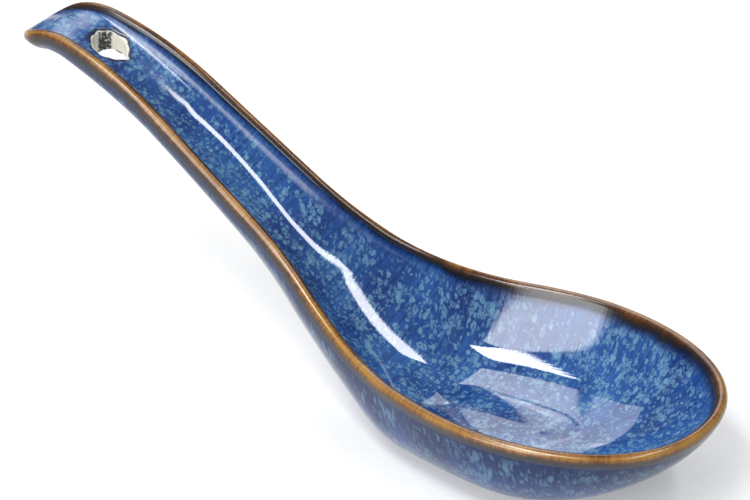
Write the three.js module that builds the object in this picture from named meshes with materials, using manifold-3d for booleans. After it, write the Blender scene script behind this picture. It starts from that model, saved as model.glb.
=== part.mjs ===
// A porcelain soup spoon: a fired white body, and over it an inner, a rim and an outer coat of glaze.
// Millimetres. +X points to the nose of the bowl, the handle rises towards -X, +Z is up.
// The origin lies on the table, under the widest section of the bowl, on the bare foot.
// One middle surface runs through the wall. Every piece is a stretch of a surface beside it.

import * as THREE from "three";
import { mergeVertices } from "three/addons/utils/BufferGeometryUtils.js";
import Module from "manifold-3d";

// The lip line seen from the side, from the widest section back to the tip of the handle
const RIM_HEIGHT = 17.5;
const LEVEL_LENGTH = 14.8;
const BEND_RADIUS = 45.7;
const HANDLE_RISE = THREE.MathUtils.degToRad(32);
const HANDLE_LENGTH = 39.3;
const CROWN_RADIUS = 60;
const CROWN_LENGTH = 21.2;
const HOOK_RADIUS = 12.9;
const HOOK_LENGTH = 12.5;

// The lip line seen from above
const BOWL_WIDTH = 45.6;
const NOSE_REACH = 31.9;
const NOSE_SQUARENESS = 2.15;
const SWELL_LENGTH = 55;
const TIP_WIDTH = 11.8;
const TIP_REACH = 5.5;
const TIP_SQUARENESS = 2.1;
// Gain in half width for each millimetre down the handle
const HANDLE_TAPER = 0.053;

// How far the keel lies under the lip line on the handle, and where the bowl becomes the handle
const HANDLE_DEPTH = 5.1;
const TIP_DEPTH = 2;
// A high value keeps the channel deep until close to the tip
const CHANNEL_HOLD = 2.4;
const HEEL_START = 19.8;
const HEEL_END = 78.7;
const HEEL_SHARPNESS = 0.504;

// Section shapes: how straight the wall drops at the lip, how far it leans in there, how flat the floor is
const NOSE_WALL = { drop: 0.44, lean: 0.085, floor: 0.52 };
const FLANK_WALL = { drop: 0.52, lean: 0.135, floor: 0.77 };
const HEEL_WALL = { drop: 0.457, lean: 0.055, floor: 0.33 };
const HANDLE_WALL = { drop: 0.81, lean: 0.01, floor: 0.35 };
const TIP_WALL = { drop: 0, lean: 0.35, floor: 0.35 };

// Thicknesses over the glaze, and the coats
const LIP_THICKNESS = 2;
const FLOOR_THICKNESS = 6.7;
const HANDLE_THICKNESS = 2.9;
const TIP_THICKNESS = 5.4;
// Above 1, the wall stays thin for longer below the lip of the nose, and thickens sooner below the flanks' lip
const NOSE_SLIMNESS = 2.2;
const FLANK_FULLNESS = 1.27;
const GLAZE_THICKNESS = 0.35;
const COAT_GAP = 0.05;
// How far the brown rim coat reaches down each side of the lip, and the seam between it and the blue coats
const RIM_BAND = 1.2;
const RIM_SEAM = 0.15;

// The rounded underside is cut off this deep to make the foot, and the glaze stops this far above it
const FOOT_CUT = 1.5;
const GLAZE_STOP = 0.6;

// The hanging hole, its place along the lip line and off the middle, and the bare ring round it in the glaze
const HOLE_DIAMETER = 6;
const HOLE_PLACE = 97.9;
const HOLE_OFFSET = 1.3;
const HOLE_BARE_RING = 0.3;

// Fineness of the faceted surface
const NOSE_STEPS = 9;
const FLANK_STEPS = 18;
const TIP_STEPS = 5;
const WALL_STEPS = 8;
const LIP_STEPS = 4;
const HOLE_STEPS = 24;

const PORCELAIN = { color: 0xefece2, roughness: 0.55, metalness: 0 };
const BLUE_GLAZE = { color: 0x2a559c, roughness: 0.08, metalness: 0 };
const BROWN_GLAZE = { color: 0x7a4a1c, roughness: 0.1, metalness: 0 };

const COAT = GLAZE_THICKNESS + COAT_GAP;
const BEND_LENGTH = BEND_RADIUS * HANDLE_RISE;
const HOOK_START = LEVEL_LENGTH + BEND_LENGTH + HANDLE_LENGTH + CROWN_LENGTH;
const TIP_END = HOOK_START + HOOK_LENGTH;
const TIP_START = TIP_END - TIP_REACH;

const RUNS = [
  { length: LEVEL_LENGTH, turn: 0 },
  { length: BEND_LENGTH, turn: HANDLE_RISE },
  { length: HANDLE_LENGTH, turn: 0 },
  { length: CROWN_LENGTH, turn: -CROWN_LENGTH / CROWN_RADIUS },
  { length: HOOK_LENGTH, turn: -HOOK_LENGTH / HOOK_RADIUS },
];

// Point and upward normal of the lip line in the middle plane, at a distance behind the widest section.
// A distance below zero lies towards the nose.
function lipLine(distance) {
  const point = new THREE.Vector3(0, 0, RIM_HEIGHT);
  let rise = 0;
  let left = distance;
  for (const run of RUNS) {
    const part = Math.min(left, run.length);
    const half = (run.turn * part) / run.length / 2;
    const chord = half === 0 ? part : (part * Math.sin(half)) / half;
    point.x -= chord * Math.cos(rise + half);
    point.z += chord * Math.sin(rise + half);
    rise += 2 * half;
    left -= part;
    if (left <= 0) break;
  }
  return { point, normal: new THREE.Vector3(Math.sin(rise), 0, Math.cos(rise)) };
}

// Half the width between the lip lines: a taper on the handle, and a raised cosine that swells to the bowl
function halfWidth(distance) {
  const straight = TIP_WIDTH / 2 + HANDLE_TAPER * (TIP_END - distance);
  if (distance > SWELL_LENGTH) return straight;
  const swell = (1 + Math.cos((Math.PI * distance) / SWELL_LENGTH)) / 2;
  const gain = BOWL_WIDTH / 2 - TIP_WIDTH / 2 - HANDLE_TAPER * TIP_END;
  return straight + gain * swell;
}

// 0 in the bowl, 1 on the handle
function heel(distance) {
  return THREE.MathUtils.smoothstep(distance, HEEL_START, HEEL_END) ** HEEL_SHARPNESS;
}

// Stations along one side of the lip line, from the nose to the tip
function sideStations() {
  const stations = [];
  for (let step = 0; step < NOSE_STEPS; step += 1) {
    const angle = (step / NOSE_STEPS) * (Math.PI / 2);
    stations.push({
      distance: -NOSE_REACH * Math.cos(angle) ** (2 / NOSE_SQUARENESS),
      half: (BOWL_WIDTH / 2) * Math.sin(angle) ** (2 / NOSE_SQUARENESS),
      front: Math.cos(angle) ** 2,
      back: 0,
    });
  }
  for (let step = 0; step <= FLANK_STEPS; step += 1) {
    const distance = (step / FLANK_STEPS) * TIP_START;
    stations.push({ distance, half: halfWidth(distance), front: 0, back: 0 });
  }
  for (let step = 1; step <= TIP_STEPS; step += 1) {
    const angle = (step / TIP_STEPS) * (Math.PI / 2);
    const distance = TIP_START + TIP_REACH * Math.sin(angle) ** (2 / TIP_SQUARENESS);
    const narrowing = step === TIP_STEPS ? 0 : Math.cos(angle) ** (2 / TIP_SQUARENESS);
    const half = halfWidth(distance) * narrowing;
    stations.push({ distance, half, front: 0, back: Math.sin(angle) ** 2 });
  }
  return stations;
}

// The whole loop of stations: down the near side from nose to tip, and back along the far side
function loopStations() {
  const near = sideStations().map((station) => ({ ...station, side: -1 }));
  const far = near.slice(1, -1).reverse().map((station) => ({ ...station, side: 1 }));
  return [...near, ...far];
}

// Height of the wall's middle at the keel, worked out from the foot
const KEEL_HEIGHT = FLOOR_THICKNESS / 2 - COAT - FOOT_CUT;

// The section of the middle surface at a station: from the lip down to the keel, as points with their
// way down and half the body's thickness there
function section(station) {
  const { distance, half, front, back, side } = station;
  const lip = lipLine(distance).point;
  lip.y = side * half;
  const along = THREE.MathUtils.clamp(distance, 0, TIP_START);
  const { point: axis, normal } = lipLine(along);
  const toHandle = heel(along);
  const upHandle = THREE.MathUtils.clamp((along - HEEL_END) / (TIP_START - HEEL_END), 0, 1);
  const shallow = THREE.MathUtils.lerp(HANDLE_DEPTH, TIP_DEPTH, upHandle ** CHANNEL_HOLD);
  const depth = THREE.MathUtils.lerp(RIM_HEIGHT - KEEL_HEIGHT, shallow, toHandle);
  const keel = axis.clone().addScaledVector(normal, -depth);
  const shape = (name) => {
    const bowl = THREE.MathUtils.lerp(FLANK_WALL[name], NOSE_WALL[name], front);
    const handle = THREE.MathUtils.lerp(HANDLE_WALL[name], TIP_WALL[name], back);
    const plain = THREE.MathUtils.lerp(bowl, handle, toHandle);
    return THREE.MathUtils.lerp(plain, HEEL_WALL[name], 4 * toHandle * (1 - toHandle));
  };
  const down = keel.clone().sub(axis);
  const out = lip.clone().sub(axis);
  const upper = lip.clone().addScaledVector(down, shape("drop")).addScaledVector(out, -shape("lean"));
  const levelOut = out.clone().projectOnPlane(normal);
  const lower = keel.clone().addScaledVector(levelOut, shape("floor"));
  const curve = new THREE.CubicBezierCurve3(lip, upper, lower, keel);
  const length = curve.getLength();
  const shares = [0, (RIM_BAND - RIM_SEAM / 2) / length];
  const start = (RIM_BAND + RIM_SEAM / 2) / length;
  for (let step = 0; step <= WALL_STEPS; step += 1) {
    shares.push(THREE.MathUtils.lerp(start, 1, step / WALL_STEPS));
  }
  const handleThickness = THREE.MathUtils.lerp(HANDLE_THICKNESS, TIP_THICKNESS, upHandle);
  const keelThickness = THREE.MathUtils.lerp(FLOOR_THICKNESS, handleThickness, toHandle);
  return shares.map((share) => {
    const full = 1 - (1 - share) ** FLANK_FULLNESS;
    const thickening = THREE.MathUtils.lerp(full, share ** NOSE_SLIMNESS, front);
    return {
      point: curve.getPointAt(share),
      down: curve.getTangentAt(share),
      half: THREE.MathUtils.lerp(LIP_THICKNESS, keelThickness, thickening) / 2 - COAT,
    };
  });
}

const SECTIONS = loopStations().map(section);
const COUNT = SECTIONS.length;
const LAST = SECTIONS[0].length - 1;

// Normal at the keel: square to the keel line, in the middle plane
function keelNormal(station) {
  const flankEnd = NOSE_STEPS + FLANK_STEPS;
  const step = THREE.MathUtils.clamp(Math.min(station, COUNT - station), NOSE_STEPS, flankEnd);
  const ahead = SECTIONS[Math.max(step - 1, NOSE_STEPS)][LAST].point;
  const behind = SECTIONS[Math.min(step + 1, flankEnd)][LAST].point;
  const run = ahead.clone().sub(behind);
  return new THREE.Vector3(-run.z, 0, run.x).normalize();
}

// Normal of the middle surface, towards the inside of the spoon
function normalAt(station, ring) {
  if (ring === LAST) return keelNormal(station);
  const next = SECTIONS[(station + 1) % COUNT][ring].point;
  const previous = SECTIONS[(station + COUNT - 1) % COUNT][ring].point;
  const round = next.clone().sub(previous);
  return SECTIONS[station][ring].down.clone().cross(round).normalize();
}

const NORMALS = SECTIONS.map((rings, station) => rings.map((_, ring) => normalAt(station, ring)));

// Direction in which the wall ends at the lip, square to the normal there
const EDGES = SECTIONS.map((rings, station) => {
  const normal = NORMALS[station][0];
  const edge = rings[0].down.clone().negate();
  return edge.addScaledVector(normal, -edge.dot(normal)).normalize();
});

// Rows of points from the keel inside, over the rounded lip, to the keel outside,
// on the surface that lies a clearance outside the body
function rowsAt(clearance) {
  const beside = (ring, way) =>
    SECTIONS.map((rings, station) => {
      const { point, half } = rings[ring];
      return point.clone().addScaledVector(NORMALS[station][ring], way * (half + clearance));
    });
  const rows = [];
  for (let ring = LAST; ring >= 0; ring -= 1) rows.push(beside(ring, 1));
  for (let step = 1; step < LIP_STEPS; step += 1) {
    const angle = (step / LIP_STEPS) * Math.PI;
    rows.push(
      SECTIONS.map((rings, station) => {
        const { point, half } = rings[0];
        const reach = half + clearance;
        return point
          .clone()
          .addScaledVector(NORMALS[station][0], reach * Math.cos(angle))
          .addScaledVector(EDGES[station], reach * Math.sin(angle));
      }),
    );
  }
  for (let ring = 0; ring <= LAST; ring += 1) rows.push(beside(ring, -1));
  return rows;
}

// Triangles between neighbouring rows
function sheet(rows, flipped = false) {
  const triangles = [];
  for (let row = 0; row + 1 < rows.length; row += 1) {
    for (let station = 0; station < COUNT; station += 1) {
      const next = (station + 1) % COUNT;
      const a = rows[row][station];
      const b = rows[row][next];
      const c = rows[row + 1][next];
      const d = rows[row + 1][station];
      triangles.push(flipped ? [a, c, b] : [a, b, c], flipped ? [a, d, c] : [a, c, d]);
    }
  }
  return triangles;
}

// Geometry of a list of triangles, with shared points merged and triangles without area left out
function geometryOf(triangles) {
  const open = new THREE.BufferGeometry();
  open.setFromPoints(triangles.flat());
  const merged = mergeVertices(open, 1e-4);
  const index = [];
  for (let corner = 0; corner < merged.index.count; corner += 3) {
    const [a, b, c] = [0, 1, 2].map((step) => merged.index.getX(corner + step));
    if (a !== b && b !== c && c !== a) index.push(a, b, c);
  }
  merged.setIndex(index);
  return merged;
}

// A coat over some of the rows: its face, its back against the body, and its edges where it stops
const BACK_ROWS = rowsAt(COAT_GAP);
const FACE_ROWS = rowsAt(COAT);

function coat(from, to) {
  const face = FACE_ROWS.slice(from, to + 1);
  const back = BACK_ROWS.slice(from, to + 1);
  const triangles = [...sheet(face), ...sheet(back, true)];
  if (from > 0) triangles.push(...sheet([back[0], face[0]]));
  if (to < FACE_ROWS.length - 1) triangles.push(...sheet([face.at(-1), back.at(-1)]));
  return geometryOf(triangles);
}

const wasm = await Module();
wasm.setup();

function solidOf(geometry) {
  const bare = geometry.clone();
  bare.deleteAttribute("normal");
  bare.deleteAttribute("uv");
  const merged = mergeVertices(bare, 1e-5);
  const vertProperties = new Float32Array(merged.attributes.position.array);
  const triVerts = new Uint32Array(merged.index.array);
  return new wasm.Manifold(new wasm.Mesh({ numProp: 3, vertProperties, triVerts }));
}

function geometryFrom(solid) {
  const mesh = solid.getMesh();
  const geometry = new THREE.BufferGeometry();
  geometry.setAttribute("position", new THREE.BufferAttribute(mesh.vertProperties, 3));
  geometry.setIndex(new THREE.BufferAttribute(mesh.triVerts, 1));
  return geometry;
}

// A round bar along the hanging hole, which is punched straight down, longer than the hole is deep
function holeBar(diameter) {
  const { point } = lipLine(HOLE_PLACE);
  const reach = 2 * (HANDLE_DEPTH + TIP_THICKNESS);
  const bar = new THREE.CylinderGeometry(diameter / 2, diameter / 2, 2 * reach, HOLE_STEPS);
  bar.rotateX(Math.PI / 2);
  bar.translate(point.x, HOLE_OFFSET, point.z);
  return solidOf(bar);
}

// A block that takes away everything below a height
function blockBelow(height) {
  const thickness = 2 * (FOOT_CUT + FLOOR_THICKNESS);
  const length = 2 * (NOSE_REACH + TIP_END);
  const block = new THREE.BoxGeometry(length, 2 * BOWL_WIDTH, thickness);
  block.translate(0, 0, height - thickness / 2);
  return solidOf(block);
}

function piece(name, geometry, look) {
  const flat = geometry.index ? geometry.toNonIndexed() : geometry;
  flat.computeVertexNormals();
  const mesh = new THREE.Mesh(flat, new THREE.MeshStandardMaterial(look));
  mesh.name = name;
  return mesh;
}

const coatHole = holeBar(HOLE_DIAMETER + 2 * HOLE_BARE_RING);
const body = solidOf(geometryOf(sheet(rowsAt(0)))).subtract(blockBelow(0)).subtract(holeBar(HOLE_DIAMETER));

// Rows where the rim coat stops on the inside and on the outside, and where the blue coats start
const RIM_FROM = LAST - 1;
const RIM_TO = LAST + LIP_STEPS + 1;
const INNER_TO = LAST - 2;
const OUTER_FROM = LAST + LIP_STEPS + 2;

const innerCoat = solidOf(coat(0, INNER_TO)).subtract(coatHole);
const outerCoat = solidOf(coat(OUTER_FROM, FACE_ROWS.length - 1))
  .subtract(blockBelow(GLAZE_STOP))
  .subtract(coatHole);

const spoon = new THREE.Group();
spoon.name = "spoon";
spoon.add(
  piece("porcelain_body", geometryFrom(body), PORCELAIN),
  piece("inner_glaze", geometryFrom(innerCoat), BLUE_GLAZE),
  piece("outer_glaze", geometryFrom(outerCoat), BLUE_GLAZE),
  piece("rim_glaze", coat(RIM_FROM, RIM_TO), BROWN_GLAZE),
);

export default spoon;
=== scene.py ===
"""A porcelain soup spoon: bare fired body, blue speckled glaze inside and outside, and an iron-brown rim.

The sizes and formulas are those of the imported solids, on a much finer mesh. Sizes and places are in
millimetres and become metres where Blender takes them. +X points to the nose of the bowl, +Z is up.
"""

import math

import bmesh
import bpy
import numpy as np
from mathutils import Matrix, Vector
from mathutils.bvhtree import BVHTree
from mathutils.geometry import delaunay_2d_cdt


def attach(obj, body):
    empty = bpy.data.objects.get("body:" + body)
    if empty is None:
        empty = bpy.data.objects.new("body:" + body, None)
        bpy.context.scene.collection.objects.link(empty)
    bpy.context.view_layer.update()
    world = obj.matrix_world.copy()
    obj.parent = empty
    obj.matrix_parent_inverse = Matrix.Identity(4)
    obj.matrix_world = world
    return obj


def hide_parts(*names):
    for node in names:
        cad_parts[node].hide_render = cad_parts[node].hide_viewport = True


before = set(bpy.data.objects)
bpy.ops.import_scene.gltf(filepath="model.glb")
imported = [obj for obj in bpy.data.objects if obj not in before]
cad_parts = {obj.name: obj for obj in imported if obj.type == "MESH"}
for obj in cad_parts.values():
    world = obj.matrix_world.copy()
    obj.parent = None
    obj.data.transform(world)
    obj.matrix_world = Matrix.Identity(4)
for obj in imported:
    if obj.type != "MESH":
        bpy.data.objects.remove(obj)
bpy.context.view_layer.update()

METRES = 0.001

# The lip line seen from the side
RIM_HEIGHT = 17.5
LEVEL_LENGTH = 14.8
BEND_RADIUS = 45.7
HANDLE_RISE = math.radians(32)
HANDLE_LENGTH = 39.3
CROWN_RADIUS = 60
CROWN_LENGTH = 21.2
HOOK_RADIUS = 12.9
HOOK_LENGTH = 12.5

# The lip line seen from above
BOWL_WIDTH = 45.6
NOSE_REACH = 31.9
NOSE_SQUARENESS = 2.15
SWELL_LENGTH = 55
TIP_WIDTH = 11.8
TIP_REACH = 5.5
TIP_SQUARENESS = 2.1
HANDLE_TAPER = 0.053

# The keel under the lip line, and the way from the bowl to the handle
HANDLE_DEPTH = 5.1
TIP_DEPTH = 2
CHANNEL_HOLD = 2.4
HEEL_START = 19.8
HEEL_END = 78.7
HEEL_SHARPNESS = 0.504
HEEL_SOFTENING = 4.2
HEEL_BELL = 1.05

# Section shapes: drop of the wall at the lip, lean inwards there, flatness of the floor
DROP, LEAN, FLATNESS = range(3)
NOSE_WALL = (0.44, 0.085, 0.52)
FLANK_WALL = (0.52, 0.135, 0.77)
HEEL_WALL = (0.457, 0.055, 0.33)
HANDLE_WALL = (0.81, 0.01, 0.35)
TIP_WALL = (0, 0.35, 0.35)

# Thickness at the lip and along the keel. Slimness keeps the nose's wall thin for longer below the lip,
# and fullness thickens the flanks' wall sooner
LIP_THICKNESS = 2
FLOOR_THICKNESS = 6.7
HANDLE_THICKNESS = 2.9
TIP_THICKNESS = 5.4
NOSE_SLIMNESS = 2.2
FLANK_FULLNESS = 1.27

# The coats of glaze, the rim band measured down the wall, how much the flat foot takes off the floor,
# and how far above the table the outer glaze stops
GLAZE_THICKNESS = 0.35
COAT_GAP = 0.05
RIM_BAND = 1.2
FOOT_CUT = 1.5
GLAZE_STOP = 0.6

# The hanging hole: its place along the lip line and off the middle, the bare ring round it in the glaze,
# and the beads that round its edge in the body and in the coats
HOLE_DIAMETER = 6
HOLE_PLACE = 97.9
HOLE_OFFSET = 1.3
HOLE_BARE_RING = 0.3
BODY_BEAD = 0.22
COAT_BEAD = 0.32

# The glaze's ragged edge round the hole. Waves: depth, count and start. Bites: place, depth and width
GLAZE_CREEP = 0.04
EDGE_WAVES = ((0.1, 3, 0.6), (0.08, 5, 2.3), (0.06, 9, 1.1))
EDGE_BITES = ((0.1, 0.42, 0.16), (1.25, 0.3, 0.2), (2.9, 0.26, 0.22), (4.4, 0.14, 0.3))

# Fineness of the mesh
NOSE_STEPS = 34
FLANK_STEPS = 96
TIP_STEPS = 22
HEEL_SAMPLES = 15
SECTION_STEPS = 200
RIM_ROWS = 4
WALL_ROWS = 38
ROW_CROWDING = 1.15
LIP_ROWS = 14
HOLE_STEPS = 90
HOLE_WALL_ROWS = 12
HOLE_WINDOW = 4.6

# Rings round the hole: steps of the bead, the rings beyond it, and how they keep clear of the window
BEAD_STEPS = 6
RING_GAPS = (0.12, 0.3, 0.55, 0.85)
HOLE_ROOM = 0.3
ROOM_SPREAD = 4
ROOM_USED = 0.85

# The angle from which an edge is sharp, a height or depth clear of the spoon, and any one way in plan
CREASE = math.radians(42)
CLEAR_OF_SPOON = 200
ANY_WAY = (0.8, 0.6)

# The burnt lip: how far outside its crest it is most golden, and how far from there the burn reaches.
# Inside the lip that distance counts by a share in the bowl and on the handle, plus the shade.
# The ends are where the burn and the stroked band beside it run out, as shares of the reach.
# Strokes and a slow drift make its edge uneven, each by a factor and an offset
GOLD_PLACE = 0.5
BURN_REACH = 2.2
BOWL_BURN = 0.6
HANDLE_BURN = 0.95
INNER_SHADE = 0.1
BURN_END = (1.35, 0.75)
NEAR_END = (2.1, 1)
STROKE_SHIFT = (1, -0.5)
SLOW_DRIFT = (1.2, -0.6)

# The scorched edge of the hole: distances from its middle, raggedness and strength
SCORCH_RUN = (5, 4.2)
SCORCH_RAGGEDNESS = 1.6
SCORCH_STRENGTH = 0.85

# Where the finish changes, in distances along the lip from the nose
HANDLE_BURN_RUN = (60, 85)
RIBBED_RUN = (95, 75)
MATT_CHANNEL_RUN = (70, 95)
MATT_TIP_RUN = (122, 136)

# Where the finish changes, in distances from the lip's crest, negative inside the spoon
CHANNEL_WALL_TOP = (-1, -2)
CHANNEL_WALL_FOOT = (-5, -3.5)
# Painted shade on the outer wall just under the lip: where it begins, where it fades out, and its strength
SHADE_UNDER_LIP_TOP = (0, 1)
SHADE_UNDER_LIP_FOOT = (13, 3)
SHADE_UNDER_LIP_STRENGTH = 0.8
RIB_REACH = (15, 8)
FLAKES_FROM_LIP = (2, 5)

# Finish: refraction of the glaze, and what the burn and the matt stretches add to its roughness
GLAZE_IOR = 1.7
BURN_DULLING = 0.1
MATT_DULLING = 0.2

# How often the glaze's patterns change per millimetre. Strokes: along the lip, down the wall and across
BLUE_STROKES = (2.4, 0.07, 0.05)
BURN_STROKES = (3.2, 0.3, 0.1)
LARGE_FLAKES = 0.95
SMALL_FLAKES = 1.6
FLAKE_CLUSTERS = 0.22
FLAKE_BENDS = 1.3
GLAZE_POOLS = 0.09
GLAZE_GRAIN = 2.6
BURN_WANDER = 0.16
SCORCH_EDGE = 1.1
SLOW_RIPPLES = 0.12

# The flakes: how far they are bent, how many cells hold one, their radii, and the small ones' strength
FLAKE_BEND = 1.1
FLAKE_CROWDING = (2.2, -0.4)
FLAKE_RADII = (0.4, 0.66)
SMALL_FLAKE_STRENGTH = 0.8

# How much height counts beside width in the ripples, and the heights of ripples, strokes and ribs
RIPPLE_RUN = 0.6
RIPPLE_HEIGHT = 0.02
STROKE_HEIGHT = 0.002
RIB_HEIGHT = 0.01

# Bare porcelain: how often its patterns change per millimetre, and the height of its grain.
# The dark patch on the hole's wall, partly splashed glaze and partly painted shade on that side: where it
# starts and ends round the hole, how far these ends waver, and its radius
PORCELAIN_GRAIN = 2.5
PORCELAIN_STAINS = 0.5
PORCELAIN_SPECKS = 1.3
GRAIN_HEIGHT = 0.03
SPLASH_SHADE_WANDER = 0.9
SPLASH_SHADE_BREAKS = 2.2
SPLASH_SHADE_START = (2.35, 2.6)
SPLASH_SHADE_END = (3.35, 3.2)
SPLASH_SHADE_WAVER = 0.6
SPLASH_SHADE_RADIUS = (3.4, 3.2)

# The floor: half its side, its grain per millimetre, its roughness, and how far it is lifted to white
FLOOR_HALF = 3000
PAPER_GRAIN = 0.6
PAPER_ROUGHNESS = 0.9
FLOOR_LIFT = 0.5

# Power per square metre of a panel with a glow of 1
GLOW_POWER = 4

# Panels of light: start, end, width, and glow, which is how bright the face is
PANELS = {
    "near_softbox": ((-234, -1100, 158), (-58, -1100, 1223), 530, 4.6),
    "right_strip": ((228, 470, 1000), (969, -537, 1000), 90, 9),
    "far_softbox": ((-510, 780, 1000), (-370, 100, 1000), 180, 2.9),
    "far_panel": ((-850, 80, 1000), (-960, 1850, 1000), 500, 1.65),
    "far_low_panel": ((-1200, 1300, 1000), (-1450, 1950, 1000), 200, 1.65),
    "far_corner_panel": ((-515, 820, 1000), (-564, 1600, 1000), 260, 1.65),
}

# Strips that fill a triangle of light on the left: its tip, its far end and its corner
LEFT_TIP = Vector((340, -605, 1000))
LEFT_END = Vector((-430, -170, 1000))
LEFT_CORNER = Vector((-220, -800, 1000))
LEFT_STRIPS = 8
LEFT_WIDTH = 56
LEFT_GLOW = 11

# Faint light from all round
DAYLIGHT = (0.9, 0.95, 1, 1)
DAYLIGHT_STRENGTH = 0.18

# The camera: its place, how far round and up it looks from, its lens, and the range it sees
CAMERA_PLACE = (260.644, -425.091, 342.864)
CAMERA_AZIMUTH = math.radians(34.595)
CAMERA_ELEVATION = math.radians(31.28)
CAMERA_LENS = 172.8
CAMERA_SENSOR = 36
CAMERA_RANGE = (10, 20000)

COAT = GLAZE_THICKNESS + COAT_GAP
BEND_LENGTH = BEND_RADIUS * HANDLE_RISE
TIP_END = LEVEL_LENGTH + BEND_LENGTH + HANDLE_LENGTH + CROWN_LENGTH + HOOK_LENGTH
TIP_START = TIP_END - TIP_REACH
KEEL_HEIGHT = FLOOR_THICKNESS / 2 - COAT - FOOT_CUT
RUNS = (
    (LEVEL_LENGTH, 0),
    (BEND_LENGTH, HANDLE_RISE),
    (HANDLE_LENGTH, 0),
    (CROWN_LENGTH, -CROWN_LENGTH / CROWN_RADIUS),
    (HOOK_LENGTH, -HOOK_LENGTH / HOOK_RADIUS),
)


def lip_line(distance):
    """Points of the lip line in the middle plane, and how steeply it rises there."""
    x = np.zeros_like(distance)
    z = np.full_like(distance, RIM_HEIGHT)
    rise = np.zeros_like(distance)
    left = distance.copy()
    for step, (length, turn) in enumerate(RUNS):
        part = np.minimum(left, length) if step == 0 else np.clip(left, 0, length)
        half = turn * part / length / 2
        chord = part * np.sinc(half / math.pi)
        x = x - chord * np.cos(rise + half)
        z = z + chord * np.sin(rise + half)
        rise = rise + 2 * half
        left = left - part
    return np.stack([x, 0 * x, z], -1), rise


def half_width(distance):
    """Half the width between the lip lines: a taper on the handle that swells to the bowl."""
    straight = TIP_WIDTH / 2 + HANDLE_TAPER * (TIP_END - distance)
    gain = BOWL_WIDTH / 2 - TIP_WIDTH / 2 - HANDLE_TAPER * TIP_END
    swell = (1 + np.cos(math.pi * np.clip(distance / SWELL_LENGTH, 0, 1))) / 2
    return straight + gain * swell


def heel(distance):
    """0 in the bowl, 1 on the handle, with its start and end rounded off by a bell of samples."""
    total = 0 * distance
    weight = 0
    for shift in np.linspace(-1, 1, HEEL_SAMPLES):
        share = np.clip((distance + shift * HEEL_SOFTENING - HEEL_START) / (HEEL_END - HEEL_START), 0, 1)
        bell = HEEL_BELL - shift**2
        total = total + bell * (share * share * (3 - 2 * share)) ** HEEL_SHARPNESS
        weight += bell
    return total / weight


def side_stations():
    """Stations along the near side of the lip line: distance, half width, nose share and tip share."""
    turn = np.linspace(0, math.pi / 2, NOSE_STEPS + 1)[:-1]
    power = 2 / NOSE_SQUARENESS
    distance = -NOSE_REACH * np.cos(turn) ** power
    nose = (distance, BOWL_WIDTH / 2 * np.sin(turn) ** power, np.cos(turn) ** 2, 0 * turn)
    distance = np.linspace(0, TIP_START, FLANK_STEPS + 1)
    flank = (distance, half_width(distance), 0 * distance, 0 * distance)
    turn = np.linspace(0, math.pi / 2, TIP_STEPS + 1)[1:]
    power = 2 / TIP_SQUARENESS
    distance = TIP_START + TIP_REACH * np.sin(turn) ** power
    narrowing = np.cos(turn) ** power
    narrowing[-1] = 0
    tip = (distance, half_width(distance) * narrowing, 0 * turn, np.sin(turn) ** 2)
    return [np.concatenate(parts) for parts in zip(nose, flank, tip)]


def blend(start, end, share):
    return start + (end - start) * share


def unit(vectors):
    return vectors / np.maximum(np.linalg.norm(vectors, axis=-1, keepdims=True), 1e-12)


def curve_points(corners, share):
    """Points at shares of the curve that four corners span."""
    start, upper, lower, end = corners
    rest = 1 - share
    first_half = rest**3 * start + 3 * rest**2 * share * upper
    return first_half + 3 * rest * share**2 * lower + share**3 * end


def curve_ways(corners, share):
    """Which way that curve runs at those shares."""
    start, upper, lower, end = corners
    rest = 1 - share
    first_half = 3 * rest**2 * (upper - start) + 6 * rest * share * (lower - upper)
    return first_half + 3 * share**2 * (end - lower)


def near_sections():
    """The middle surface of the wall on the near side: points, way down and half thickness, row by row
    from the lip to the keel, and how far down the section each row lies."""
    distance, half, front, back = side_stations()
    lip, _ = lip_line(distance)
    lip[:, 1] = -half
    along = np.clip(distance, 0, TIP_START)
    axis, rise = lip_line(along)
    up = np.stack([np.sin(rise), 0 * rise, np.cos(rise)], -1)
    to_handle = heel(along)
    up_handle = np.clip((along - HEEL_END) / (TIP_START - HEEL_END), 0, 1)
    channel = blend(HANDLE_DEPTH, TIP_DEPTH, up_handle**CHANNEL_HOLD)
    depth = blend(RIM_HEIGHT - KEEL_HEIGHT, channel, to_handle)
    keel = axis - up * depth[:, None]

    def shape(part):
        bowl = blend(FLANK_WALL[part], NOSE_WALL[part], front)
        handle = blend(HANDLE_WALL[part], TIP_WALL[part], back)
        plain = blend(bowl, handle, to_handle)
        return blend(plain, HEEL_WALL[part], 4 * to_handle * (1 - to_handle))[:, None]

    out = lip - axis
    level_out = out - up * (out * up).sum(-1, keepdims=True)
    upper = lip + (keel - axis) * shape(DROP) - out * shape(LEAN)
    lower = keel + level_out * shape(FLATNESS)
    corners = (lip, upper, lower, keel)
    fine = np.linspace(0, 1, SECTION_STEPS + 1)
    curve = curve_points(corners, fine[:, None, None])
    steps = np.linalg.norm(np.diff(curve, axis=0), axis=-1)
    run = np.concatenate([np.zeros((1, len(distance))), np.cumsum(steps, 0)])
    length = run[-1]
    band = RIM_BAND / length
    shares = [band * row / RIM_ROWS for row in range(RIM_ROWS)]
    shares += [blend(band, 1, (row / WALL_ROWS) ** ROW_CROWDING) for row in range(WALL_ROWS + 1)]
    shares = np.array(shares)
    place = [np.interp(shares[:, i] * length[i], run[:, i], fine) for i in range(len(length))]
    place = np.stack(place, 1)[..., None]
    handle_thickness = blend(HANDLE_THICKNESS, TIP_THICKNESS, up_handle)
    keel_thickness = blend(FLOOR_THICKNESS, handle_thickness, to_handle)
    thickening = blend(1 - (1 - shares) ** FLANK_FULLNESS, shares**NOSE_SLIMNESS, front)
    half_thickness = blend(LIP_THICKNESS, keel_thickness, thickening) / 2 - COAT
    return curve_points(corners, place), curve_ways(corners, place), half_thickness, shares * length


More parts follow.
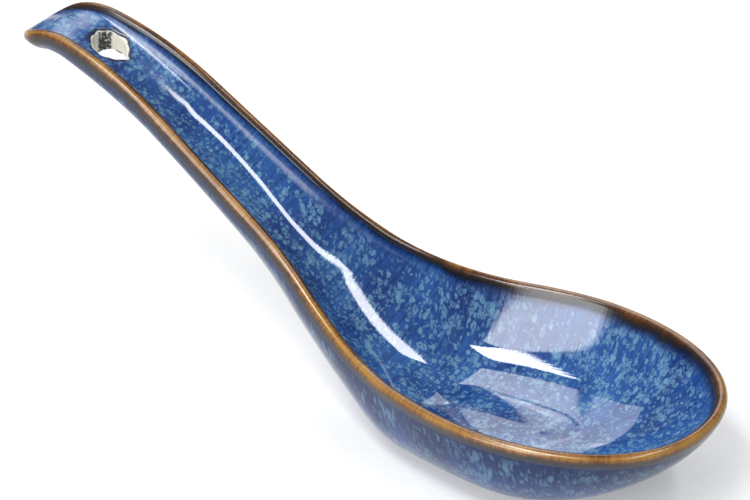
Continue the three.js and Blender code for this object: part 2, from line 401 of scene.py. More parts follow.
def round_the_loop(near, mirrored=False):
    """Adds the far side, which runs back from the tip to the nose, to what the near side gives."""
    far = near[:, -2:0:-1].copy()
    if mirrored:
        far[..., 1] *= -1
    return np.concatenate([near, far], 1)


near_points, near_down, near_thickness, near_reach = near_sections()
SIDE = near_points.shape[1]
COUNT = 2 * (SIDE - 1)
LAST = near_points.shape[0] - 1
FLANK_FIRST, FLANK_LAST = NOSE_STEPS, NOSE_STEPS + FLANK_STEPS

points = round_the_loop(near_points, True)
down = round_the_loop(near_down, True)
thickness = round_the_loop(near_thickness)
reach = round_the_loop(near_reach)

# Each station's own place on the keel: the fans at the nose and the tip share one point each
side_of = np.minimum(np.arange(COUNT), COUNT - np.arange(COUNT))
keel_of = np.clip(side_of, FLANK_FIRST, FLANK_LAST)

normals = unit(np.cross(down, np.roll(points, -1, 1) - np.roll(points, 1, 1)))
keel_line = near_points[LAST, FLANK_FIRST : FLANK_LAST + 1]
keel_run = np.gradient(keel_line, axis=0)
keel_up = unit(np.stack([keel_run[:, 2], 0 * keel_run[:, 0], -keel_run[:, 0]], -1))
normals[LAST] = keel_up[keel_of - FLANK_FIRST]
edges = -down[0]
edges = unit(edges - normals[0] * (edges * normals[0]).sum(-1, keepdims=True))

lip_steps = np.linalg.norm(np.diff(near_points[0], axis=0), axis=-1)
lip_run = np.concatenate([[0], np.cumsum(lip_steps)])
from_nose = np.concatenate([lip_run, lip_run[-2:0:-1]])

HOLE_X = float(lip_line(np.array([HOLE_PLACE]))[0][0, 0])


def rows_at(clearance):
    """Rows of points from the keel inside, over the rounded lip, to the keel outside,
    on the surface that lies a clearance outside the body."""
    offset = normals * (thickness + clearance)[..., None]
    lip_reach = (thickness[0] + clearance)[:, None]
    turns = [math.pi * step / LIP_ROWS for step in range(1, LIP_ROWS)]
    arc = [points[0] + lip_reach * (normals[0] * math.cos(t) + edges * math.sin(t)) for t in turns]
    return np.concatenate([(points + offset)[::-1], np.array(arc), points - offset])


FACE = rows_at(COAT)
BACK = rows_at(COAT_GAP)
BODY = rows_at(0)
OUTER_LIP = LAST + LIP_ROWS
ROW_COUNT = len(FACE)
INNER_SEAM = LAST - RIM_ROWS
OUTER_SEAM = OUTER_LIP + RIM_ROWS


def flow_rows():
    """For each point: the way along the lip from the nose, and the distance from the lip's crest over the
    surface, which is negative inside the spoon and positive outside."""
    crest = np.zeros((ROW_COUNT, COUNT))
    quarter = (thickness[0] + COAT) * math.pi / 2
    for row in range(ROW_COUNT):
        if row <= LAST:
            crest[row] = -reach[LAST - row] - quarter
        elif row >= OUTER_LIP:
            crest[row] = reach[row - OUTER_LIP] + quarter
        else:
            crest[row] = quarter * (2 * (row - LAST) / LIP_ROWS - 1)
    return np.stack([np.broadcast_to(from_nose, crest.shape), crest, 0 * crest], -1)


FLOW = flow_rows()

# Normals of the glaze's face, so that the rim coat and the blue coats meet without a visible seam
face_normals = unit(np.cross(np.roll(FACE, -1, 1) - np.roll(FACE, 1, 1), np.gradient(FACE, axis=0)))
SEAM_NORMALS = np.zeros_like(FACE)
for seam in (INNER_SEAM, OUTER_SEAM):
    SEAM_NORMALS[seam] = face_normals[seam]


def sheet(first, last):
    """Faces of the rows from first to last, as numbers of row * COUNT + station, welded along the keel."""
    numbers = np.arange(ROW_COUNT * COUNT).reshape(ROW_COUNT, COUNT)
    for row in (0, ROW_COUNT - 1):
        numbers[row] = row * COUNT + keel_of
    faces = []
    for row in range(first, last):
        above, below = numbers[row], numbers[row + 1]
        for station in range(COUNT):
            after = (station + 1) % COUNT
            ring = [above[station], above[after], below[after], below[station]]
            face = [int(v) for i, v in enumerate(ring) if v != ring[i - 1]]
            if len(face) > 2:
                faces.append(face)
    return faces


def hole_edge(turn, ragged):
    """Radius of the hole's edge at a turn round it. The glaze drew back from it in uneven bites."""
    radius = HOLE_DIAMETER / 2 + 0 * turn
    if not ragged:
        return radius
    radius = radius + HOLE_BARE_RING - GLAZE_CREEP
    for depth, count, start in EDGE_WAVES:
        radius = radius + depth * np.sin(count * turn + start)
    for place, depth, width in EDGE_BITES:
        apart = np.abs((turn - place + math.pi) % (2 * math.pi) - math.pi)
        radius = radius + depth * np.exp(-((apart / width) ** 2))
    return radius


def crossings(polygon, place, way):
    """How far along a way from a place the sides of a polygon are met, all in plan."""
    start, end = polygon, np.roll(polygon, -1, 0)
    side = end - start
    off = start - place
    turned = way[0] * side[:, 1] - way[1] * side[:, 0]
    turned = np.where(np.abs(turned) < 1e-12, 1e-12, turned)
    far = (off[:, 0] * side[:, 1] - off[:, 1] * side[:, 0]) / turned
    share = (off[:, 0] * way[1] - off[:, 1] * way[0]) / turned
    return far[(far > 0) & (share >= 0) & (share < 1)]


def inside(polygon, place):
    return len(crossings(polygon, place, ANY_WAY)) % 2 == 1


def window_round_hole(flat, faces):
    """Takes the faces near the hole out of a sheet: what stays, and the window's corners in order."""
    close = np.hypot(flat[:, 0] - HOLE_X, flat[:, 1] - HOLE_OFFSET) < HOLE_WINDOW
    gone = [face for face in faces if any(close[v] for v in face)]
    kept = [face for face in faces if not any(close[v] for v in face)]
    sides = {(a, b) for face in gone for a, b in zip(face, face[1:] + face[:1])}
    following = {a: b for a, b in sides if (b, a) not in sides}
    window = [min(following)]
    while following[window[-1]] != window[0]:
        window.append(following[window[-1]])
    return kept, window


def hole_rings(outline, ragged, bead):
    """Rings of points in plan from the hole's edge outwards, within the window's outline, and how deep
    each lies below the surface, because the bead rolls the edge over."""
    centre = np.array([HOLE_X, HOLE_OFFSET])
    turn = np.linspace(0, 2 * math.pi, HOLE_STEPS, endpoint=False)
    ways = np.stack([np.cos(turn), np.sin(turn)], -1)
    room = np.array([crossings(outline, centre, way).min() for way in ways])
    room = np.min([np.roll(room, shift) for shift in range(-ROOM_SPREAD, ROOM_SPREAD + 1)], axis=0)
    edge_radius = np.minimum(hole_edge(turn, ragged), room - HOLE_ROOM)
    rolls = [step / BEAD_STEPS * math.pi / 2 for step in range(BEAD_STEPS + 1)]
    steps = [bead * (1 - math.cos(roll)) for roll in rolls] + [bead + gap for gap in RING_GAPS]
    drops = [bead * (1 - math.sin(roll)) for roll in rolls] + [0] * len(RING_GAPS)
    squeeze = np.minimum(1, ROOM_USED * (room - edge_radius) / steps[-1])
    rings = [centre + ways * (edge_radius + step * squeeze)[:, None] for step in steps]
    return rings, drops


def fill_window(outline, rings, side):
    """Triangles between the window's outline and the hole's edge, as numbers into outline and rings."""
    plan = np.concatenate([outline, *rings])
    first = len(outline)
    bounds = [(i, (i + 1) % first) for i in range(first)]
    for ring in range(len(rings)):
        start = first + ring * HOLE_STEPS
        bounds += [(start + i, start + (i + 1) % HOLE_STEPS) for i in range(HOLE_STEPS)]
    made = delaunay_2d_cdt([Vector(p) for p in plan], bounds, [], 0, 1e-7)
    origin = [source[0] for source in made[3]]
    filled = []
    for face in made[2]:
        corners = [origin[v] for v in face]
        middle = plan[corners].mean(0)
        if inside(outline, middle) and not inside(rings[0], middle):
            filled.append(corners if side > 0 else corners[::-1])
    return filled


def lay_on(layer, faces, flow, spots, side):
    """Heights of places in plan on a layer, met from above or below, and the flow there."""
    tree = BVHTree.FromPolygons(layer.tolist(), faces)
    heights = []
    flow_there = []
    for spot in spots:
        hit, _, face, _ = tree.ray_cast(Vector((*spot, CLEAR_OF_SPOON * side)), Vector((0, 0, -side)))
        heights.append(hit.z)
        corners = faces[face]
        weights = 1 / (np.linalg.norm(layer[corners] - np.array(hit), axis=1) + 1e-6)
        flow_there.append((flow[corners] * weights[:, None]).sum(0) / weights.sum())
    return np.array(heights), np.array(flow_there)


def pierce(layers, flow, faces, side, ragged, bead):
    """Opens the hanging hole in a sheet and fills the window round it with finer rings. The first layer
    is rolled over at the edge by the bead. side is 1 inside the spoon and -1 on its underside.
    Returns the layers, their flow, the faces and the numbers of the points on the edge."""
    flat = layers[0]
    kept, window = window_round_hole(flat, faces)
    outline = flat[window][:, :2]
    rings, drops = hole_rings(outline, ragged, bead)
    spots = np.concatenate(rings)
    total = len(flat)
    number = window + [total + i for i in range(len(spots))]
    filled = [[number[v] for v in corners] for corners in fill_window(outline, rings, side)]
    laid = [lay_on(layer, faces, flow, spots, side) for layer in layers]
    pierced = []
    for layer, (heights, _) in zip(layers, laid):
        pierced.append(np.concatenate([layer, np.column_stack([spots, heights])]))
    pierced[0][total:, 2] -= side * np.repeat(drops, HOLE_STEPS)
    edge = [total + i for i in range(HOLE_STEPS)]
    return pierced, np.concatenate([flow, laid[0][1]]), kept + filled, edge


def solid(name, spots, flow, faces, seams=None, cut=None):
    """A closed mesh piece in metres. Where cut is given, everything below that height is taken away."""
    work = bmesh.new()
    flow_layer = work.verts.layers.float_vector.new("flow")
    seam_layer = work.verts.layers.float_vector.new("seam")
    used = sorted({v for face in faces for v in face})
    verts = {}
    for v in used:
        verts[v] = work.verts.new(spots[v] * METRES)
        verts[v][flow_layer] = flow[v]
        if seams is not None:
            verts[v][seam_layer] = seams[v]
    for face in faces:
        work.faces.new([verts[v] for v in face])
    if cut is not None:
        parts = work.verts[:] + work.edges[:] + work.faces[:]
        level = {"plane_co": (0, 0, cut * METRES), "plane_no": (0, 0, -1)}
        made = bmesh.ops.bisect_plane(work, geom=parts, dist=1e-9, clear_outer=True, **level)
        open_edges = [e for e in made["geom_cut"] if isinstance(e, bmesh.types.BMEdge) and e.is_boundary]
        if cut == 0:
            bmesh.ops.contextual_create(work, geom=open_edges)
        else:
            bmesh.ops.bridge_loops(work, edges=open_edges)
    bmesh.ops.recalc_face_normals(work, faces=work.faces[:])
    mesh = bpy.data.meshes.new(name)
    work.to_mesh(mesh)
    work.free()
    mesh.shade_smooth()
    mesh.set_sharp_from_angle(angle=CREASE)
    seam = np.zeros(len(mesh.vertices) * 3, np.float32)
    mesh.attributes["seam"].data.foreach_get("vector", seam)
    mesh.attributes.remove(mesh.attributes["seam"])
    if seams is not None:
        mesh.normals_split_custom_set_from_vertices(seam.reshape(-1, 3))
    piece = bpy.data.objects.new(name, mesh)
    bpy.context.scene.collection.objects.link(piece)
    return piece


def closed_coat(face_spots, back_spots, faces):
    """Faces of a coat: its face, its back turned round, and strips along every open edge."""
    total = len(face_spots)
    ways = {(a, b) for face in faces for a, b in zip(face, face[1:] + face[:1])}
    strips = [[b, a, a + total, b + total] for a, b in sorted(ways) if (b, a) not in ways]
    turned = [[v + total for v in face[::-1]] for face in faces]
    return np.concatenate([face_spots, back_spots]), faces + turned + strips


def coat(name, first, last, side=0, cut=None):
    """A coat of glaze over the rows from first to last, pierced by the hole where side says so."""
    layers = [FACE.reshape(-1, 3), BACK.reshape(-1, 3)]
    flow = FLOW.reshape(-1, 3)
    seams = SEAM_NORMALS.reshape(-1, 3)
    faces = sheet(first, last)
    if side:
        layers, flow, faces, _ = pierce(layers, flow, faces, side, True, COAT_BEAD)
        seams = np.concatenate([seams, np.zeros((len(layers[0]) - len(seams), 3))])
    spots, faces = closed_coat(*layers, faces)
    return solid(name, spots, np.tile(flow, (2, 1)), faces, np.concatenate([seams, 0 * seams]), cut)


def bare_body():
    """The fired body: one closed skin with the hole's wall through it, cut flat at the foot."""
    spots = BODY.reshape(-1, 3)
    flow = FLOW.reshape(-1, 3)
    middle = LAST + LIP_ROWS // 2
    upper = sheet(0, middle)
    lower = sheet(middle, ROW_COUNT - 1)
    (spots,), flow, upper, mouth = pierce([spots], flow, upper, 1, False, BODY_BEAD)
    (spots,), flow, lower, exit_edge = pierce([spots], flow, lower, -1, False, BODY_BEAD)
    rows = [mouth]
    for row in range(1, HOLE_WALL_ROWS):
        start = len(spots)
        spots = np.concatenate([spots, blend(spots[mouth], spots[exit_edge], row / HOLE_WALL_ROWS)])
        flow = np.concatenate([flow, flow[mouth]])
        rows.append([start + i for i in range(HOLE_STEPS)])
    rows.append(exit_edge)
    wall = []
    for row, below in zip(rows, rows[1:]):
        for i in range(HOLE_STEPS):
            after = (i + 1) % HOLE_STEPS
            wall.append([row[i], row[after], below[after], below[i]])
    return solid("porcelain_spoon_body", spots, flow, upper + lower + wall, cut=0)


body = bare_body()
inner = coat("blue_glaze_inside", 0, INNER_SEAM, side=1)
rim = coat("brown_glaze_rim", INNER_SEAM, OUTER_SEAM)
outer = coat("blue_glaze_outside", OUTER_SEAM, ROW_COUNT - 1, side=-1, cut=GLAZE_STOP)


def paint(red, green, blue):
    """A colour as it shows on a screen, 0 to 255, for a colour socket."""
    shares = (red / 255, green / 255, blue / 255)
    return (*(c / 12.92 if c <= 0.04045 else ((c + 0.055) / 1.055) ** 2.4 for c in shares), 1)


# Blue glaze: its ground from thick to thin, its grain and strokes, the painted shade on the outer wall under
# the lip, the flakes
COBALT_TONES = ((0.32, paint(22, 50, 108)), (0.52, paint(34, 74, 138)), (0.7, paint(48, 96, 158)))
GRAIN_BLUE = paint(74, 120, 166)
STROKE_NAVY = paint(17, 36, 88)
# Painted shade: the navy that darkens the outer wall just under the lip
UNDER_LIP_SHADE_NAVY = paint(14, 30, 72)
FLAKE_SKY = paint(96, 146, 182)
FLAKE_SEA = paint(126, 164, 176)

# Burnt lip, from its gold to the blue, by shares of the burn's reach, and the scorched edge of the hole
BURN_TONES = (
    (0.0, paint(156, 119, 60)),
    (0.18, paint(132, 90, 43)),
    (0.35, paint(84, 50, 24)),
    (0.52, paint(52, 33, 19)),
    (0.72, paint(26, 25, 26)),
    (0.95, paint(14, 26, 60)),
)
SCORCHED = paint(34, 32, 44)

# Bare porcelain, and the paper of the floor
CREAM = paint(236, 234, 224)
STAINED_CREAM = paint(218, 214, 200)
CLAY_GRAIN = paint(196, 190, 176)
IRON_SPECK = paint(92, 84, 76)
# A dark patch on the hole's wall: partly splashed glaze, partly painted shade
GLAZE_SPLASH_AND_SHADE = paint(52, 54, 54)
PAPER = paint(208, 208, 208)
PALE_PAPER = paint(214, 214, 214)


class Graph:
    """Short ways to add nodes to a node tree. An input is a number or the output of another node."""

    def __init__(self, tree):
        self.tree = tree

    def link(self, output, socket):
        self.tree.links.new(output, socket)

    def node(self, kind, inputs=None, **settings):
        made = self.tree.nodes.new("ShaderNode" + kind)
        for name, value in settings.items():
            setattr(made, name, value)
        for name, value in (inputs or {}).items():
            if isinstance(value, bpy.types.NodeSocket):
                self.link(value, made.inputs[name])
            else:
                made.inputs[name].default_value = value
        return made

    def math(self, operation, first, second=0.5):
        return self.node("Math", {0: first, 1: second}, operation=operation).outputs[0]

    def product(self, first, *others):
        for other in others:
            first = self.math("MULTIPLY", first, other)
        return first

    def scaled(self, value, factor, shift):
        return self.node("Math", {0: value, 1: factor, 2: shift}, operation="MULTIPLY_ADD").outputs[0]

    def length(self, vector):
        return self.node("VectorMath", {0: vector}, operation="LENGTH").outputs["Value"]

    def rise(self, value, start, end, low=0, high=1):
        """Goes smoothly from low to high while the value goes from start to end."""
        if start > end:
            start, end, low, high = end, start, high, low
        names = {"Value": value, "From Min": start, "From Max": end, "To Min": low, "To Max": high}
        return self.node("MapRange", names, interpolation_type="SMOOTHSTEP").outputs["Result"]

    def mix(self, share, first, second):
        return self.node("Mix", {0: share, 6: first, 7: second}, data_type="RGBA").outputs[2]

    def ramp(self, value, stops):
        made = self.node("ValToRGB", {"Fac": value})
        elements = made.color_ramp.elements
        while len(elements) < len(stops):
            elements.new(1)
        for element, (place, colour) in zip(elements, stops):
            element.position = place
            element.color = colour
        return made.outputs["Color"]

    def noise(self, vector, scale, detail=2, roughness=0.5):
        inputs = {"Vector": vector, "Scale": scale, "Detail": detail, "Roughness": roughness}
        return self.node("TexNoise", inputs).outputs["Fac"]

    def stretched(self, vector, scale):
        return self.node("Mapping", {"Vector": vector, "Scale": scale}).outputs["Vector"]

    def millimetres(self, height=1.0):
        """The place on the object in millimetres, with its height drawn out by a factor below 1."""
        place = self.node("TexCoord").outputs["Object"]
        if isinstance(height, bpy.types.NodeSocket):
            tall = self.product(height, 1 / METRES)
            height_scale = {"X": 1 / METRES, "Y": 1 / METRES, "Z": tall}
            return self.stretched(place, self.node("CombineXYZ", height_scale).outputs["Vector"])
        return self.stretched(place, (1 / METRES, 1 / METRES, height / METRES))

    def flow(self):
        """The way along the lip, and the distance from its crest: negative inside, positive outside."""
        seen = self.node("Attribute", attribute_name="flow").outputs["Vector"]
        parts = self.node("SeparateXYZ", {"Vector": seen}).outputs
        return parts["X"], parts["Y"]

    def along_flow(self, way, crest, side):
        """A place for strokes that run down from the lip. The numbers say how often it changes along
        the lip, down the wall and from one side of the spoon to the other, per millimetre."""
        along, down_wall = self.flow()
        across = self.node("SeparateXYZ", {"Vector": self.millimetres()}).outputs["Y"]
        parts = {"X": (along, way), "Y": (down_wall, crest), "Z": (across, side)}
        scaled = {axis: self.product(value, often) for axis, (value, often) in parts.items()}
        return self.node("CombineXYZ", scaled).outputs["Vector"]

    def from_hole(self):
        """The place in plan measured from the middle of the hanging hole, in millimetres."""
        settings = {"Location": (-HOLE_X, -HOLE_OFFSET, 0), "Scale": (1 / METRES, 1 / METRES, 0)}
        place = self.node("TexCoord").outputs["Object"]
        return self.node("Mapping", {"Vector": place, **settings}).outputs["Vector"]


def node_group(name, inputs, outputs):
    """An empty node group with the named sockets: its graph, its input node and its output node."""
    tree = bpy.data.node_groups.new(name, "ShaderNodeTree")
    for socket_name, kind in inputs.items():
        tree.interface.new_socket(socket_name, in_out="INPUT", socket_type=kind)
    for socket_name, kind in outputs.items():
        tree.interface.new_socket(socket_name, in_out="OUTPUT", socket_type=kind)
    return Graph(tree), tree.nodes.new("NodeGroupInput"), tree.nodes.new("NodeGroupOutput")


COLOUR, NUMBER = "NodeSocketColor", "NodeSocketFloat"


def flakes(graph, place, clusters, scale):
    """Round flakes, most with a dark eye. Where the clusters are thick, more cells hold a flake."""
    cells = graph.node("TexVoronoi", {"Vector": place, "Scale": scale}, voronoi_dimensions="3D").outputs
    lot = graph.node("SeparateColor", {"Color": cells["Color"]}).outputs
    crowd = graph.scaled(clusters, *FLAKE_CROWDING)
    held = graph.rise(graph.math("SUBTRACT", crowd, lot["Red"]), 0, 0.4)
    spread = graph.math("DIVIDE", cells["Distance"], graph.rise(lot["Blue"], 0, 1, *FLAKE_RADII))
    patch = graph.rise(spread, 1, 0.6)
    eye = graph.rise(spread, 0.15, 0.6, 0.3, 1)
    eye = graph.math("MAXIMUM", eye, graph.rise(lot["Green"], 0.5, 0.6))
    return graph.product(patch, eye, held)


def speckled_blue_group():
    """Cobalt glaze with pale flakes that ran downwards: its colour, and the height of its fine strokes.
    Run is how much a flake's height counts beside its width, Flakes how strong the flakes are."""
    inputs = {"Run": NUMBER, "Flakes": NUMBER}
    graph, given, result = node_group("speckled_blue", inputs, {"Colour": COLOUR, "Strokes": NUMBER})
    run = graph.millimetres(given.outputs["Run"])
    warp = graph.node("TexNoise", {"Vector": run, "Scale": FLAKE_BENDS, "Detail": 3}).outputs["Color"]
    bending = {0: warp, 1: (FLAKE_BEND, FLAKE_BEND, FLAKE_BEND), 2: run}
    bent = graph.node("VectorMath", bending, operation="MULTIPLY_ADD").outputs["Vector"]
    strokes = graph.noise(graph.along_flow(*BLUE_STROKES), 1, 3, 0.6)
    clusters = graph.noise(run, FLAKE_CLUSTERS)
    pools = graph.noise(run, GLAZE_POOLS)
    grain = graph.noise(run, GLAZE_GRAIN, 2, 0.6)

    large = flakes(graph, bent, clusters, LARGE_FLAKES)
    small = flakes(graph, bent, clusters, SMALL_FLAKES)
    _, crest = graph.flow()
    amount = graph.product(
        graph.math("MAXIMUM", large, graph.product(small, SMALL_FLAKE_STRENGTH)),
        graph.rise(strokes, 0.3, 0.6, 0.55, 1),
        graph.rise(grain, 0.3, 0.6, 0.6, 1),
        graph.rise(graph.math("ABSOLUTE", crest), *FLAKES_FROM_LIP, 0.1, 1),
        given.outputs["Flakes"],
    )
    ground = graph.ramp(pools, COBALT_TONES)
    ground = graph.mix(graph.rise(grain, 0.5, 0.7, 0, 0.3), ground, GRAIN_BLUE)
    ground = graph.mix(graph.rise(strokes, 0.58, 0.34, 0, 0.55), ground, STROKE_NAVY)
    # Painted shade: the ground darkens to navy on the outer wall just under the lip
    painted_shade_under_lip = graph.rise(crest, *SHADE_UNDER_LIP_FOOT, 0, SHADE_UNDER_LIP_STRENGTH)
    painted_shade_under_lip = graph.product(graph.rise(crest, *SHADE_UNDER_LIP_TOP), painted_shade_under_lip)
    ground = graph.mix(painted_shade_under_lip, ground, UNDER_LIP_SHADE_NAVY)
    flake = graph.mix(pools, FLAKE_SKY, FLAKE_SEA)
    graph.link(graph.mix(amount, ground, flake), result.inputs["Colour"])
    graph.link(strokes, result.inputs["Strokes"])
    return graph.tree


def rim_burn_group():
    """The iron-brown burn of the lip, laid over the colour below it: gold on the crest, then amber, brown
    and nearly black before the blue begins. The edge of the hanging hole is burnt too. Near is 1 in the
    band below the lip, where the glaze is full of fine strokes."""
    outputs = {"Colour": COLOUR, "Near": NUMBER}
    graph, given, result = node_group("rim_burn", {"Colour": COLOUR}, outputs)
    way, crest = graph.flow()
    strokes = graph.noise(graph.along_flow(*BURN_STROKES), 1)
    wander = graph.noise(graph.millimetres(), BURN_WANDER)
    shift = graph.scaled(strokes, *STROKE_SHIFT)
    drift = graph.scaled(wander, *SLOW_DRIFT)
    outwards = graph.math("SUBTRACT", crest, GOLD_PLACE)
    inner_share = graph.rise(way, *HANDLE_BURN_RUN, -BOWL_BURN, -HANDLE_BURN)
    inwards = graph.scaled(outwards, inner_share, INNER_SHADE)
    from_gold = graph.math("MAXIMUM", outwards, inwards)
    shifted = graph.math("ADD", from_gold, graph.math("ADD", shift, drift))
    tone = graph.ramp(graph.math("DIVIDE", shifted, BURN_REACH), BURN_TONES)
    burn = graph.rise(shifted, *(share * BURN_REACH for share in BURN_END))
    colour = graph.mix(burn, given.outputs["Colour"], tone)
    ragged = graph.product(graph.noise(graph.millimetres(), SCORCH_EDGE), SCORCH_RAGGEDNESS)
    off_hole = graph.math("ADD", graph.length(graph.from_hole()), ragged)
    scorch = graph.rise(off_hole, *SCORCH_RUN, 0, SCORCH_STRENGTH)
    graph.link(graph.mix(scorch, colour, SCORCHED), result.inputs["Colour"])
    near = graph.rise(shifted, *(share * BURN_REACH for share in NEAR_END))
    graph.link(near, result.inputs["Near"])
    return graph.tree


def glaze_ripple_group():
    """Height of the glaze in millimetres: slow ripples, and strokes that are deeper near the bowl's lip."""
    graph, given, result = node_group("glaze_ripple", {"Strokes": NUMBER}, {"Height": NUMBER})
    slow = graph.product(graph.noise(graph.millimetres(RIPPLE_RUN), SLOW_RIPPLES, 1), RIPPLE_HEIGHT)
    way, crest = graph.flow()
    near_lip = graph.rise(graph.math("ABSOLUTE", crest), *RIB_REACH)
    ribbed = graph.product(graph.rise(way, *RIBBED_RUN), near_lip)
    fine = graph.product(given.outputs["Strokes"], graph.scaled(ribbed, RIB_HEIGHT, STROKE_HEIGHT))
    graph.link(graph.math("ADD", slow, fine), result.inputs["Height"])
    return graph.tree


SPECKLED_BLUE = speckled_blue_group()
RIM_BURN = rim_burn_group()
GLAZE_RIPPLE = glaze_ripple_group()


def new_material(name):
    material = bpy.data.materials.new(name)
    material.use_nodes = True
    graph = Graph(material.node_tree)
    return material, graph, material.node_tree.nodes["Principled BSDF"]


def glaze(name, roughness, run, flake_strength, shine):
    """A glossy glaze: blue where the lip is far, burnt brown on the lip, and duller on the channel's walls
    and at the tip. shine is how strongly it mirrors: 0.5 is what its refraction gives."""
    material, graph, shader = new_material(name)
    blue = graph.node("Group", {"Run": run, "Flakes": flake_strength}, node_tree=SPECKLED_BLUE).outputs
    burnt = graph.node("Group", {"Colour": blue["Colour"]}, node_tree=RIM_BURN).outputs
    ripple = graph.node("Group", {"Strokes": blue["Strokes"]}, node_tree=GLAZE_RIPPLE).outputs
    bump = graph.node("Bump", {"Distance": METRES, "Strength": 1, "Height": ripple["Height"]}).outputs
    way, crest = graph.flow()
    channel_wall = graph.product(
        graph.rise(crest, *CHANNEL_WALL_TOP),
        graph.rise(crest, *CHANNEL_WALL_FOOT),
        graph.rise(way, *MATT_CHANNEL_RUN),
    )
    matt = graph.math("MAXIMUM", graph.rise(way, *MATT_TIP_RUN), channel_wall)
    burn_dulling = graph.product(burnt["Near"], BURN_DULLING)
    dulling = graph.math("MAXIMUM", burn_dulling, graph.product(matt, MATT_DULLING))
    uneven = graph.rise(blue["Strokes"], 0.3, 0.7, roughness, 2 * roughness)
    graph.link(burnt["Colour"], shader.inputs["Base Color"])
    graph.link(graph.math("ADD", uneven, dulling), shader.inputs["Roughness"])
    graph.link(bump["Normal"], shader.inputs["Normal"])
    shader.inputs["IOR"].default_value = GLAZE_IOR
    shader.inputs["Specular IOR Level"].default_value = shine
    return material


def bare_porcelain():
    """Fired clay without glaze: cream white with fine grain and a few iron specks, and a dark patch on
    the wall of the hanging hole, partly splashed glaze and partly painted shade."""
    material, graph, shader = new_material("bare_porcelain")
    place = graph.millimetres()
    grain = graph.noise(place, PORCELAIN_GRAIN, 4)
    stain = graph.noise(place, PORCELAIN_STAINS)
    specks = graph.node("TexVoronoi", {"Vector": place, "Scale": PORCELAIN_SPECKS}).outputs["Distance"]
    cream = graph.mix(stain, CREAM, STAINED_CREAM)
    cream = graph.mix(graph.rise(grain, 0.4, 0.7, 0, 0.35), cream, CLAY_GRAIN)
    colour = graph.mix(graph.rise(specks, 0.2, 0.1, 0, 0.7), cream, IRON_SPECK)
    off_hole = graph.from_hole()
    parts = graph.node("SeparateXYZ", {"Vector": off_hole}).outputs
    turn = graph.math("ARCTAN2", parts["Y"], parts["X"])
    waver = graph.product(graph.noise(place, SPLASH_SHADE_WANDER), SPLASH_SHADE_WAVER)
    turn = graph.math("ADD", turn, waver)
    # Painted shade together with splashed glaze: one side of the hole's wall is darkened, with breaks
    splash_and_shade = graph.product(
        graph.rise(turn, *SPLASH_SHADE_START),
        graph.rise(turn, *SPLASH_SHADE_END),
        graph.rise(graph.length(off_hole), *SPLASH_SHADE_RADIUS),
        graph.rise(graph.noise(place, SPLASH_SHADE_BREAKS), 0.36, 0.5, 0.35, 1),
    )
    height = graph.product(grain, GRAIN_HEIGHT)
    bump = graph.node("Bump", {"Distance": METRES, "Strength": 1, "Height": height}).outputs
    graph.link(graph.mix(splash_and_shade, colour, GLAZE_SPLASH_AND_SHADE), shader.inputs["Base Color"])
    graph.link(graph.rise(grain, 0.3, 0.7, 0.55, 0.75), shader.inputs["Roughness"])
    graph.link(bump["Normal"], shader.inputs["Normal"])
    return material


bare = bare_porcelain()
blue_inside = glaze("blue_speckled_glaze", roughness=0.03, run=0.5, flake_strength=0.85, shine=0.5)
blue_outside = glaze("blue_speckled_glaze_outside", roughness=0.05, run=0.25, flake_strength=0.6, shine=0.15)
brown = glaze("iron_brown_glaze", roughness=0.04, run=0.5, flake_strength=0.85, shine=0.35)

for piece, node, slot, material in (
    (body, "porcelain_body", "porcelain", bare),
    (inner, "inner_glaze", "blue_glaze", blue_inside),
    (rim, "rim_glaze", "brown_glaze", brown),
    (outer, "outer_glaze", "blue_glaze", blue_outside),
):
    piece.data.materials.append(material)
    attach(piece, "root")
    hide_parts(node)


def white_paper():
    """Floor material. What the camera, a mirror or glass shows of it is lifted to white, and the shadow
    stays on it."""
    material, graph, shader = new_material("white_paper")
    paper = graph.mix(graph.noise(graph.millimetres(), PAPER_GRAIN, 3), PAPER, PALE_PAPER)
    seen = graph.node("LightPath").outputs
    shown = graph.math("MAXIMUM", seen["Is Camera Ray"], seen["Is Glossy Ray"])
    shown = graph.math("MAXIMUM", shown, seen["Is Transmission Ray"])
    graph.link(paper, shader.inputs["Base Color"])
    graph.link(paper, shader.inputs["Emission Color"])
    graph.link(graph.product(shown, FLOOR_LIFT), shader.inputs["Emission Strength"])
    shader.inputs["Roughness"].default_value = PAPER_ROUGHNESS
    shader.inputs["Specular IOR Level"].default_value = 0
    return material


def white_floor():
    """A wide square sheet that the spoon stands on."""
    reach_out = FLOOR_HALF * METRES
    corners = [(x * reach_out, y * reach_out, 0) for x, y in ((-1, -1), (1, -1), (1, 1), (-1, 1))]
    mesh = bpy.data.meshes.new("white_floor")
    mesh.from_pydata(corners, [], [(0, 1, 2, 3)])
    mesh.materials.append(white_paper())
    made = bpy.data.objects.new("white_floor", mesh)
    bpy.context.scene.collection.objects.link(made)
    return made


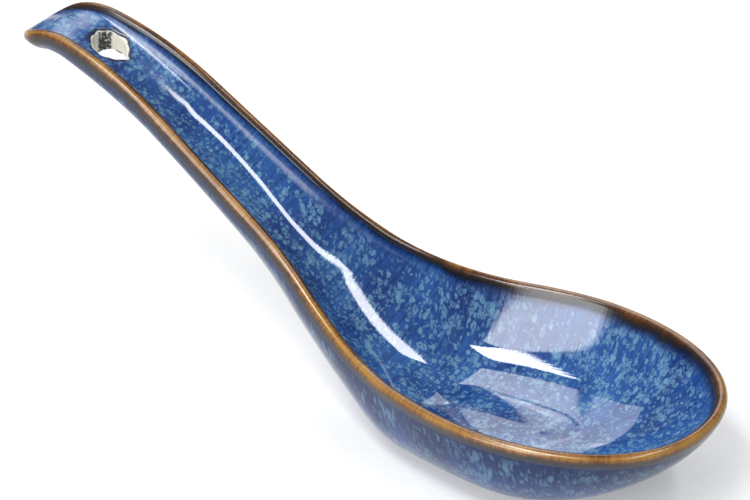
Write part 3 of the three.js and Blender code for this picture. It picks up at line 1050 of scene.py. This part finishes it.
floor = white_floor()


def softbox(name, start, end, width, glow):
    """An even panel of light that runs from start to end and faces the spoon.
    glow is how bright its face is."""
    start, end = Vector(start) * METRES, Vector(end) * METRES
    middle = (start + end) / 2
    along = (end - start).normalized()
    facing = (middle - along * middle.dot(along)).normalized()
    lamp = bpy.data.lights.new(name, "AREA")
    lamp.shape = "RECTANGLE"
    lamp.size = (end - start).length
    lamp.size_y = width * METRES
    lamp.energy = GLOW_POWER * glow * lamp.size * lamp.size_y
    light = bpy.data.objects.new(name, lamp)
    turn = Matrix((along, facing.cross(along), facing)).transposed()
    light.matrix_world = Matrix.Translation(middle) @ turn.to_4x4()
    bpy.context.scene.collection.objects.link(light)


for panel, values in PANELS.items():
    softbox(panel, *values)
for strip in range(LEFT_STRIPS):
    share = (strip + 0.5) / LEFT_STRIPS
    strip_start = LEFT_TIP.lerp(LEFT_CORNER, share)
    strip_end = LEFT_END.lerp(LEFT_CORNER, share)
    softbox(f"left_strip_{strip}", strip_start, strip_end, LEFT_WIDTH, LEFT_GLOW)

world = bpy.data.worlds.new("studio")
world.use_nodes = True
world.node_tree.nodes["Background"].inputs["Color"].default_value = DAYLIGHT
world.node_tree.nodes["Background"].inputs["Strength"].default_value = DAYLIGHT_STRENGTH
bpy.context.scene.world = world

lens = bpy.data.cameras.new("photo_camera")
lens.sensor_width = CAMERA_SENSOR
lens.lens = CAMERA_LENS
lens.clip_start, lens.clip_end = (distance * METRES for distance in CAMERA_RANGE)
camera = bpy.data.objects.new("photo_camera", lens)
camera.location = Vector(CAMERA_PLACE) * METRES
level = math.cos(CAMERA_ELEVATION)
to_camera = (math.sin(CAMERA_AZIMUTH) * level, -math.cos(CAMERA_AZIMUTH) * level, math.sin(CAMERA_ELEVATION))
camera.rotation_mode = "QUATERNION"
camera.rotation_quaternion = (-Vector(to_camera)).to_track_quat("-Z", "Y")
bpy.context.scene.collection.objects.link(camera)
bpy.context.scene.camera = camera
bpy.context.scene.view_settings.view_transform = "Standard"
